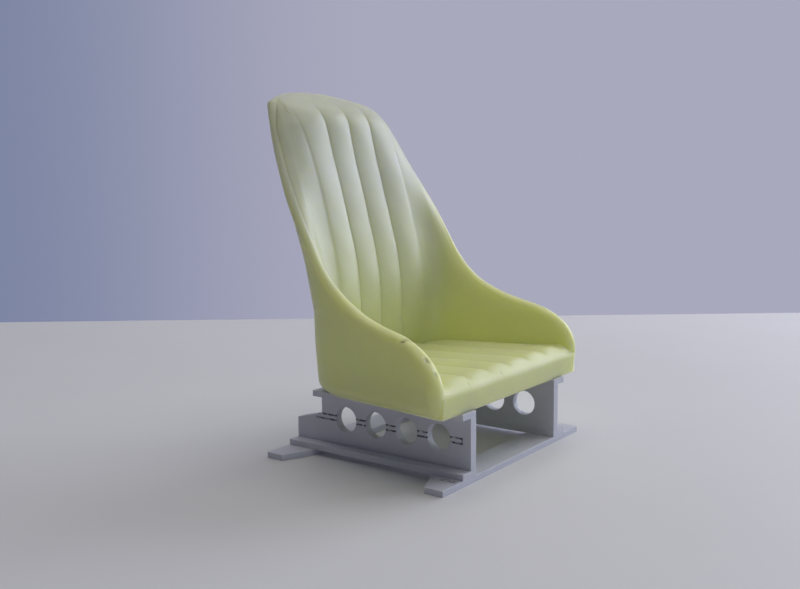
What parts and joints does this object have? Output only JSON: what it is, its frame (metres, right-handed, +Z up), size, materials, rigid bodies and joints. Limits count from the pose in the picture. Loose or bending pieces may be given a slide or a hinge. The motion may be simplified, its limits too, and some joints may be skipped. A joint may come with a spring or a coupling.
{
  "type": "racing bucket seat",
  "caption": "Scale-model racing bucket seat: translucent resin casting with fluted back and cushion, on a hand-built plastic base of drilled channel rails and flat cross strips",
  "frame": {"origin": "on the floor plane, under the middle of the bounding box", "axes": "+Z up; the front of the seat, where the occupant's knees would be, faces -Y; +X is the occupant's left"},
  "size_m": [0.0474, 0.0451, 0.063],
  "materials": {
    "cast_resin": "unpainted translucent cream polyurethane casting resin, satin gloss",
    "sheet_styrene": "bare sheet polystyrene, matt, with pencil layout lines",
    "strip_styrene": "bare strip polystyrene, matt"
  },
  "bodies": {
    "root": {"seat_casting": "cast_resin", "right_web": "sheet_styrene", "right_top_flange": "strip_styrene", "right_bottom_flange": "strip_styrene", "left_web": "sheet_styrene", "left_top_flange": "strip_styrene", "left_bottom_flange": "strip_styrene", "front_cross_strip": "strip_styrene", "rear_cross_strip": "strip_styrene"}
  },
  "joints": []
}
